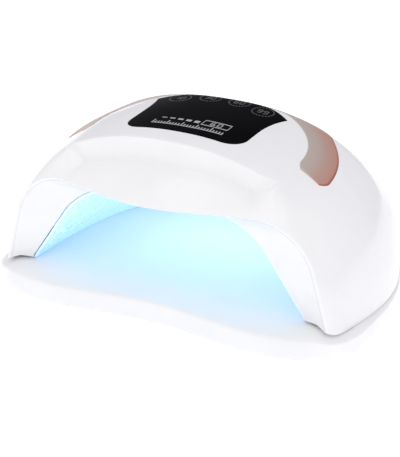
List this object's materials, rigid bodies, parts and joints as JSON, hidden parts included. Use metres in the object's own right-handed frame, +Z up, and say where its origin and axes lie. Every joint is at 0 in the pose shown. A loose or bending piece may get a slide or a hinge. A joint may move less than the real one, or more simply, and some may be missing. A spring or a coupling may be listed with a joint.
{
  "type": "uv led nail lamp",
  "caption": "Domed UV/LED nail lamp head with a lipped hand opening, black touch panel and copper accent band, on a detachable magnetic base tray.",
  "frame": {"origin": "centre of the footprint on the table", "axes": "+Z up, -Y towards the hand opening, +Y towards the power jack, +X to the user's right when facing the opening"},
  "size_m": [0.24, 0.2045, 0.1097],
  "materials": {
    "white_gloss": "gloss white ABS",
    "white_matte": "fine matte white plastic",
    "reflector": "bright reflective white",
    "panel_black": "black gloss acrylic",
    "copper": "satin rose-copper",
    "rubber_grey": "matte grey rubber",
    "steel": "nickel plated",
    "pcb": "solder mask",
    "pcb_white": "white solder mask",
    "lens": "clear violet epoxy",
    "black_plastic": "matte black plastic"
  },
  "bodies": {
    "tray": {"tray_shell": "white_gloss", "tray_base": "white_matte", "tray_magnets": "steel", "tray_screws": "steel", "tray_feet": "rubber_grey", "tray_pads": "white_matte"},
    "head": {"shell": "white_gloss", "accent_band": "copper", "panel": "panel_black", "panel_frame": "rubber_grey", "liner": "reflector", "head_floor": "white_matte", "floor_posts": "white_matte", "head_magnets": "steel", "head_screws": "steel", "board_top": "pcb_white", "board_right": "pcb_white", "board_left": "pcb_white", "board_rear": "pcb_white", "beads_top": "lens", "beads_right": "lens", "beads_left": "lens", "beads_rear": "lens", "led_posts": "white_matte", "control_board": "pcb", "board_posts": "white_matte", "board_screws": "steel", "touch_springs": "steel", "display": "black_plastic", "board_parts": "black_plastic", "sensor": "black_plastic", "power_jack": "black_plastic", "jack_nut": "steel", "ribbon": "white_matte"}
  },
  "joints": [
    {"name": "head_lift", "type": "slide", "parent": "tray", "child": "head", "axis": [0, 0, 1], "range_m": [0, 0.1]}
  ]
}
